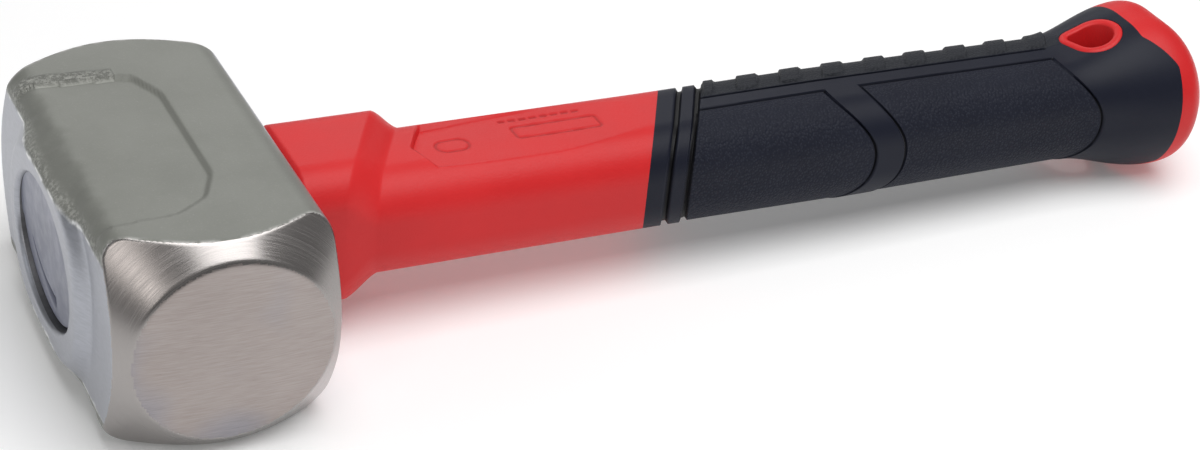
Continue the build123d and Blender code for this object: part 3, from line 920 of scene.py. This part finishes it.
def moulded_red():
    """Red plastic with faint grain and scuffs; the engraved marks are darker."""
    n = Nodes("moulded_red")
    cloud = n.noise(n.place, 30, 4)
    grain = n.noise(n.place, 2400, 3, 0.6)
    base = n.mix(n.ramp(cloud, 0.3, 0.7), rgb(0.60, 0.016, 0.018), rgb(0.66, 0.02, 0.022))
    scuff = n.ramp(n.noise(n.scaled(60, 300, 300), 1.0, 6, 0.7), 0.66, 0.78, 0.0, 0.12)
    base = n.mix(scuff, base, rgb(0.70, 0.12, 0.11))
    base = n.mix(n.math("MULTIPLY", n.painted("marks"), 0.6), base, rgb(0.30, 0.006, 0.008))
    n.set(Base_Color=base)
    uneven = n.math("ADD", n.math("MULTIPLY", cloud, 0.5), n.math("MULTIPLY", grain, 0.5))
    n.set(Roughness=n.ramp(uneven, 0.3, 0.7, 0.36, 0.5))
    n.set(Normal=n.bump(grain, 0.00005))
    n.set(Specular_IOR_Level=0.3)
    return n.material


def soft_black():
    """Black elastomer: pebbled on the panels and strip, plain elsewhere, with painted shade in the grooves
    and border lines.
    """
    n = Nodes("soft_black")
    grain = n.painted("grain")
    strip = n.painted("strip")
    cells = n.cells(n.place, 1700)
    fine = n.noise(n.place, 3200, 3, 0.7)
    cloud = n.noise(n.place, 40, 4)
    base = n.mix(n.ramp(cloud, 0.3, 0.7), rgb(0.007, 0.0085, 0.018), rgb(0.009, 0.011, 0.022))
    dots = n.math("MULTIPLY", n.ramp(cells, 0.5, 0.15), grain)
    base = n.mix(n.math("MULTIPLY", dots, 0.45), base, rgb(0.032, 0.036, 0.052))
    base = n.mix(n.math("MULTIPLY", strip, 0.5), base, rgb(0.035, 0.037, 0.038))
    # Painted shade: nearly black down in the grooves and border lines.
    base = n.mix(n.painted("groove"), base, rgb(0.003, 0.003, 0.004))
    n.set(Base_Color=base)
    n.set(Specular_IOR_Level=0.2)
    n.set(Roughness=n.ramp(grain, 0.0, 1.0, 0.46, 0.6))
    coarse = n.bump(n.math("MULTIPLY", cells, grain), 0.00016)
    n.set(Normal=n.bump(fine, 0.00003, 1.0, coarse))
    return n.material


def glass_fibre():
    """Pale resin full of glass strands that run along the bar."""
    n = Nodes("glass_fibre_core")
    strands = n.noise(n.scaled(30, 2400, 2400), 1.0, 5, 0.6)
    n.set(Base_Color=n.mix(n.ramp(strands, 0.35, 0.65), rgb(0.50, 0.43, 0.24), rgb(0.72, 0.66, 0.45)))
    n.set(Roughness=n.ramp(strands, 0.3, 0.7, 0.45, 0.6), Normal=n.bump(strands, 0.00004))
    return n.material


# ---------------------------------------------------------------- stage, light, camera

def pale_floor():
    """Near white ground that glows a little."""
    n = Nodes("pale_floor")
    tone = n.noise(n.place, 3, 3)
    n.set(Base_Color=n.mix(tone, rgb(0.90, 0.90, 0.90), rgb(0.93, 0.93, 0.93)), Roughness=0.7)
    n.set(Emission_Color=rgb(1.0, 1.0, 1.0), Emission_Strength=0.12)
    return n.material


def make_floor():
    """The hammer lies on the head's cheek and on the butt, so the floor rises slightly toward the butt."""
    contact = HEAD_WIDTH / 2 - HEAD_EDGE_RADIUS
    rise = math.atan2(HEAD_HEIGHT / 2 - BUTT_Z, BUTT_WIDEST_Z - contact)
    mesh = bpy.data.meshes.new("studio_floor")
    corners = [(FLOOR_HALF * x, FLOOR_HALF * y, 0.0) for x, y in ((-1, -1), (1, -1), (1, 1), (-1, 1))]
    mesh.from_pydata(corners, [], [(0, 1, 2, 3)])
    floor = bpy.data.objects.new("studio_floor", mesh)
    bpy.context.scene.collection.objects.link(floor)
    foot = to_row([contact, 0, -HEAD_HEIGHT / 2])
    floor.location = (foot[0], 0, foot[2] - FLOOR_CLEARANCE)
    floor.rotation_euler = (0, -rise, 0)
    floor.data.materials.append(pale_floor())


def soft_light(name, place, aim, width, height, power, colour=(1, 1, 1)):
    """Rectangular area light at place, turned toward aim."""
    data = bpy.data.lights.new(name, "AREA")
    data.shape = "RECTANGLE"
    data.size, data.size_y = width, height
    data.energy = power
    data.color = colour
    light = bpy.data.objects.new(name, data)
    light.location = place
    light.rotation_euler = (Vector(aim) - Vector(place)).to_track_quat("-Z", "Y").to_euler()
    bpy.context.scene.collection.objects.link(light)


def make_lights():
    """Large soft box overhead, with fainter ones behind and at the left."""
    centre = (0.0, 0.0, 0.02)
    soft_light("overhead_box", (0.15, -0.3, 1.0), (0.15, -0.3, 0.0), 1.0, 1.0, 11)
    soft_light("back_box", (0.3, 1.2, 0.7), centre, 1.0, 0.5, 2.5)
    soft_light("left_box", (-1.2, 0.2, 0.6), centre, 0.6, 0.6, 1.2, (0.93, 0.96, 1.0))
    soft_light("slim_box", (-0.75, -0.55, 0.55), centre, 0.12, 0.5, 0.5, (1.0, 0.95, 0.92))
    world = bpy.data.worlds.new("studio")
    bpy.context.scene.world = world
    world.use_nodes = True
    world.node_tree.nodes["Background"].inputs["Color"].default_value = rgb(1.0, 1.0, 1.0)
    world.node_tree.nodes["Background"].inputs["Strength"].default_value = 0.22


def make_camera():
    """Camera at the viewing angle, given as turn, tilt and roll about the middle of the head."""
    turn, tilt, roll = -0.495, 0.542, 0.109
    aside, down, distance, focal = -87.66, -1.76, 518.2, 77.4
    back = Vector((math.sin(turn) * math.cos(tilt), -math.cos(turn) * math.cos(tilt), math.sin(tilt)))
    right = Vector((math.cos(turn), math.sin(turn), 0.0))
    up = back.cross(right)
    leaned_right = math.cos(roll) * right + math.sin(roll) * up
    leaned_up = math.cos(roll) * up - math.sin(roll) * right
    place = -aside * leaned_right - down * leaned_up + distance * back
    data = bpy.data.cameras.new("camera")
    data.sensor_width = 36.0
    data.lens = focal
    data.clip_start = 0.01
    camera = bpy.data.objects.new("camera", data)
    basis = Matrix((leaned_right, leaned_up, back)).transposed().to_4x4()
    camera.matrix_world = Matrix.Translation(Vector(to_row(place[:]))) @ basis
    bpy.context.scene.collection.objects.link(camera)
    bpy.context.scene.camera = camera


make_head()
make_resin()
make_jacket()
make_grip()
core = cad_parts["core_rod"]
core.data.materials.clear()
core.data.materials.append(glass_fibre())
make_floor()
make_lights()
make_camera()
bpy.context.scene.view_settings.view_transform = "Standard"
